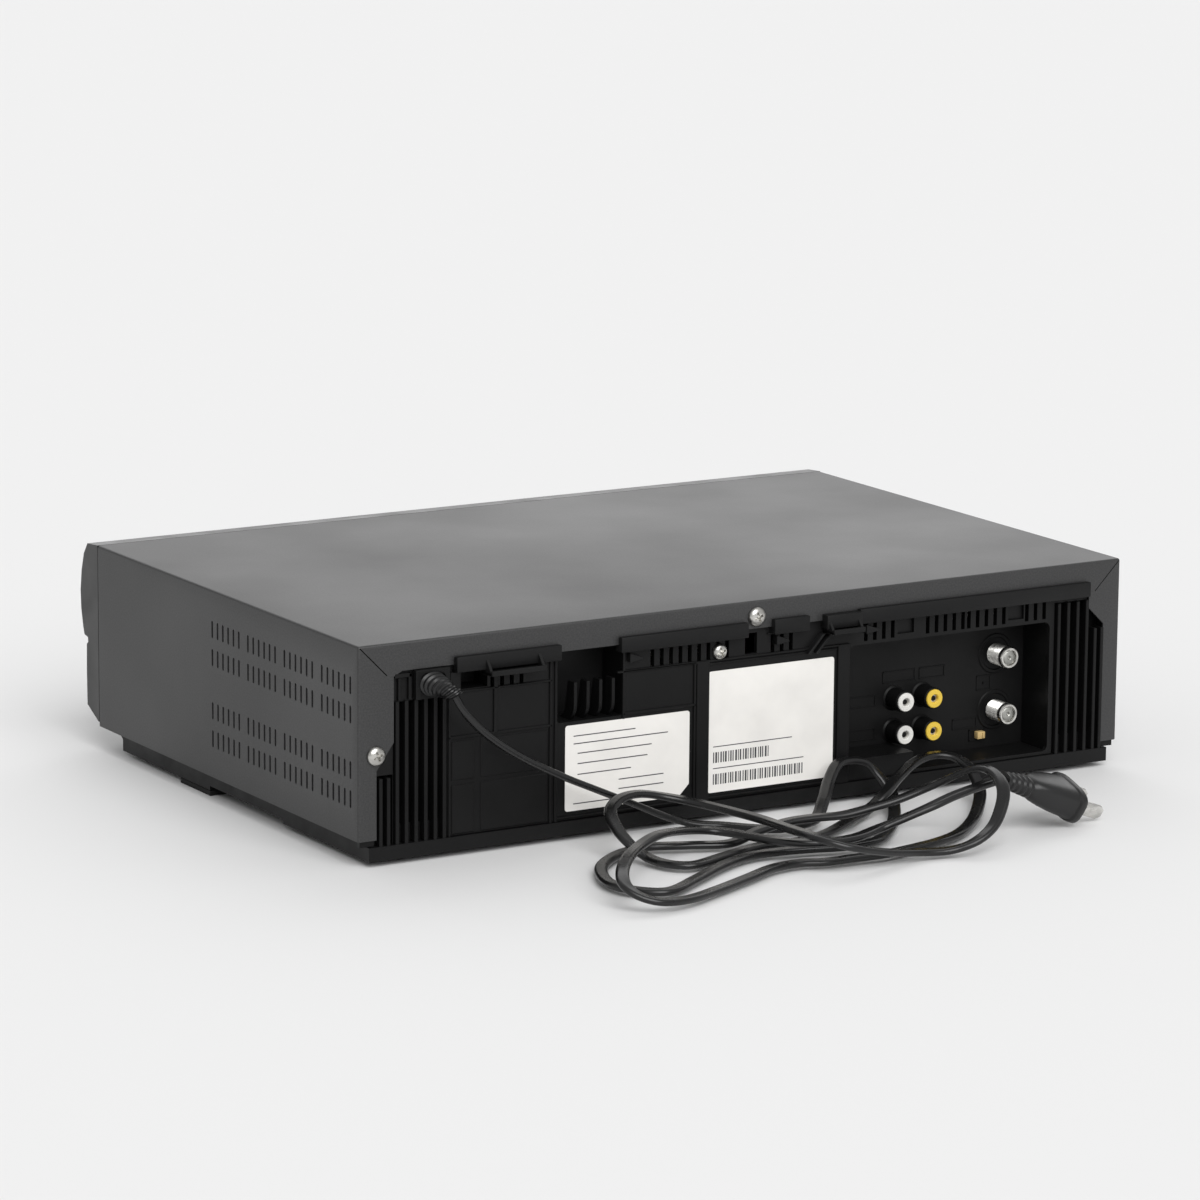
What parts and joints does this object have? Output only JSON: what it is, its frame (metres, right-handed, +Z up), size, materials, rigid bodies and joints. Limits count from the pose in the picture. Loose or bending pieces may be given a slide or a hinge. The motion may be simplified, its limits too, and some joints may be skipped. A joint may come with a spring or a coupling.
{
  "type": "video cassette recorder",
  "caption": "Front-loading video cassette recorder with folded steel cover, jack panel, full tape deck, hinged cassette door and a bundled mains cord.",
  "frame": {"origin": "middle of the recorder's footprint at the floor, without the cord and its plug", "axes": "+X to the right seen from the front, front faces -Y, rear faces +Y, +Z up"},
  "size_m": [0.38, 0.3766, 0.093],
  "materials": {
    "grey_paint": "fine satin texture",
    "black_plastic": "fine texture",
    "bright_steel": "nickel plated",
    "zinc_steel": "zinc plated",
    "board_green": "laminate with solder mask",
    "white_plastic": "plain",
    "paper": "printed paper, left bare",
    "rubber": "plain",
    "smoked_lens": "polished",
    "tan_plastic": "plain",
    "copper_tape": "varnished",
    "vinyl": "soft satin"
  },
  "bodies": {
    "case": {"top_cover": "grey_paint", "cover_screw_side": "bright_steel", "cover_screw_top": "bright_steel", "panel_screw": "black_plastic", "base_tray": "black_plastic", "foot_front_left": "rubber", "foot_front_right": "rubber", "foot_rear_left": "rubber", "foot_rear_right": "rubber", "rear_panel": "black_plastic", "phono_jack_block": "black_plastic", "rf_modulator": "zinc_steel", "rating_label": "paper", "serial_label": "paper", "front_bezel": "black_plastic", "display_window": "smoked_lens", "main_board": "board_green", "power_board": "board_green", "front_board": "board_green", "power_transformer": "copper_tape", "filter_capacitor": "black_plastic", "deck_chassis": "zinc_steel", "lower_drum": "zinc_steel", "capstan_belt": "rubber", "erase_head": "bright_steel", "audio_head": "bright_steel", "loading_motor": "zinc_steel", "carriage_side_left": "zinc_steel", "carriage_side_right": "zinc_steel", "cord_boot": "vinyl", "cord_lead": "vinyl", "cord_bundle": "vinyl", "plug_body": "vinyl", "plug_blade_wide": "bright_steel", "plug_blade_narrow": "bright_steel"},
    "door": {"cassette_door": "black_plastic"},
    "channel_switch": {"channel_switch": "tan_plastic"},
    "slider": {"carriage_slider": "zinc_steel"},
    "basket": {"cassette_basket": "black_plastic"},
    "drum": {"upper_drum": "bright_steel"},
    "capstan": {"capstan": "bright_steel"},
    "clutch": {"clutch_pulley": "white_plastic"},
    "supply_reel": {"supply_reel": "white_plastic"},
    "takeup_reel": {"takeup_reel": "white_plastic"},
    "idler_arm": {"idler_arm": "zinc_steel"},
    "idler_gear": {"idler_gear": "white_plastic"},
    "pinch_arm": {"pinch_arm": "zinc_steel"},
    "pinch_roller": {"pinch_roller": "rubber"},
    "supply_post": {"supply_post": "white_plastic"},
    "takeup_post": {"takeup_post": "white_plastic"},
    "tension_arm": {"tension_arm": "zinc_steel"},
    "cam_gear": {"cam_gear": "white_plastic"},
    "power_button": {"power_button": "black_plastic"},
    "eject_button": {"eject_button": "black_plastic"},
    "rewind_button": {"rewind_button": "black_plastic"},
    "play_button": {"play_button": "black_plastic"},
    "forward_button": {"forward_button": "black_plastic"},
    "record_button": {"record_button": "black_plastic"},
    "channel_up_button": {"channel_up_button": "black_plastic"},
    "channel_down_button": {"channel_down_button": "black_plastic"}
  },
  "joints": [
    {"name": "cassette_door_swing", "type": "hinge", "parent": "case", "child": "door", "pos_m": [0, -0.1265, 0.0816], "axis": [1, 0, 0], "range_deg": [0, 80], "stiffness_Nm_per_rad": 0.004, "springref_deg": -28.65},
    {"name": "channel_switch_slide", "type": "slide", "parent": "case", "child": "channel_switch", "axis": [1, 0, 0], "range_m": [0, 0.002]},
    {"name": "carriage_slide", "type": "slide", "parent": "case", "child": "slider", "axis": [0, 1, 0], "range_m": [0, 0.064]},
    {"name": "basket_drop", "type": "slide", "parent": "slider", "child": "basket", "axis": [0, 0, -1], "range_m": [0, 0.03]},
    {"name": "upper_drum_spin", "type": "hinge", "parent": "case", "child": "drum", "pos_m": [0, 0.0601, 0.0436], "axis": [0, -0.1028, 0.9947], "continuous": true},
    {"name": "capstan_spin", "type": "hinge", "parent": "case", "child": "capstan", "pos_m": [0.066, 0.038, 0.0192], "axis": [0, 0, 1], "continuous": true},
    {"name": "clutch_pulley_spin", "type": "hinge", "parent": "case", "child": "clutch", "pos_m": [0, -0.02, 0.0192], "axis": [0, 0, 1], "continuous": true},
    {"name": "supply_reel_spin", "type": "hinge", "parent": "case", "child": "supply_reel", "pos_m": [-0.046, -0.043, 0.0195], "axis": [0, 0, 1], "continuous": true},
    {"name": "takeup_reel_spin", "type": "hinge", "parent": "case", "child": "takeup_reel", "pos_m": [0.046, -0.043, 0.0195], "axis": [0, 0, 1], "continuous": true},
    {"name": "idler_arm_swing", "type": "hinge", "parent": "case", "child": "idler_arm", "pos_m": [0, -0.02, 0.0195], "axis": [0, 0, 1], "range_deg": [-20, 20]},
    {"name": "idler_gear_spin", "type": "hinge", "parent": "idler_arm", "child": "idler_gear", "pos_m": [0, -0.046, 0.0213], "axis": [0, 0, 1], "continuous": true},
    {"name": "cam_gear_turn", "type": "hinge", "parent": "case", "child": "cam_gear", "pos_m": [-0.082, 0.066, 0.0195], "axis": [0, 0, 1], "range_deg": [0, 300]},
    {"name": "supply_post_slide", "type": "slide", "parent": "case", "child": "supply_post", "axis": [-0.2237, 0.9747, 0], "range_m": [0, 0.0621]},
    {"name": "takeup_post_slide", "type": "slide", "parent": "case", "child": "takeup_post", "axis": [0.2237, 0.9747, 0], "range_m": [0, 0.0621]},
    {"name": "pinch_arm_swing", "type": "hinge", "parent": "case", "child": "pinch_arm", "pos_m": [0.086, 0.03, 0.0295], "axis": [0, 0, -1], "range_deg": [0, 40]},
    {"name": "pinch_roller_spin", "type": "hinge", "parent": "pinch_arm", "child": "pinch_roller", "pos_m": [0.07221, 0.01843, 0.032], "axis": [0, 0, 1], "continuous": true},
    {"name": "tension_arm_swing", "type": "hinge", "parent": "case", "child": "tension_arm", "pos_m": [-0.076, 0.024, 0.0255], "axis": [0, 0, 1], "range_deg": [0, 25]},
    {"name": "power_button_press", "type": "slide", "parent": "case", "child": "power_button", "axis": [0, 1, 0], "range_m": [0, 0.0012], "stiffness_N_per_m": 250, "springref_m": -0.0005},
    {"name": "eject_button_press", "type": "slide", "parent": "case", "child": "eject_button", "axis": [0, 1, 0], "range_m": [0, 0.0012], "stiffness_N_per_m": 250, "springref_m": -0.0005},
    {"name": "rewind_button_press", "type": "slide", "parent": "case", "child": "rewind_button", "axis": [0, 1, 0], "range_m": [0, 0.0012], "stiffness_N_per_m": 250, "springref_m": -0.0005},
    {"name": "play_button_press", "type": "slide", "parent": "case", "child": "play_button", "axis": [0, 1, 0], "range_m": [0, 0.0012], "stiffness_N_per_m": 250, "springref_m": -0.0005},
    {"name": "forward_button_press", "type": "slide", "parent": "case", "child": "forward_button", "axis": [0, 1, 0], "range_m": [0, 0.0012], "stiffness_N_per_m": 250, "springref_m": -0.0005},
    {"name": "record_button_press", "type": "slide", "parent": "case", "child": "record_button", "axis": [0, 1, 0], "range_m": [0, 0.0012], "stiffness_N_per_m": 250, "springref_m": -0.0005},
    {"name": "channel_up_button_press", "type": "slide", "parent": "case", "child": "channel_up_button", "axis": [0, 1, 0], "range_m": [0, 0.0012], "stiffness_N_per_m": 250, "springref_m": -0.0005},
    {"name": "channel_down_button_press", "type": "slide", "parent": "case", "child": "channel_down_button", "axis": [0, 1, 0], "range_m": [0, 0.0012], "stiffness_N_per_m": 250, "springref_m": -0.0005}
  ],
  "couplings": [
    {"joint": "clutch_pulley_spin", "follows": "capstan_spin", "ratio": 0.6667},
    {"joint": "idler_gear_spin", "follows": "capstan_spin", "ratio": -0.2852},
    {"joint": "supply_post_slide", "follows": "cam_gear_turn", "m_per_rad": 0.01184},
    {"joint": "takeup_post_slide", "follows": "cam_gear_turn", "m_per_rad": 0.01184},
    {"joint": "pinch_arm_swing", "follows": "cam_gear_turn", "ratio": 0.1333},
    {"joint": "tension_arm_swing", "follows": "cam_gear_turn", "ratio": 0.0833}
  ]
}
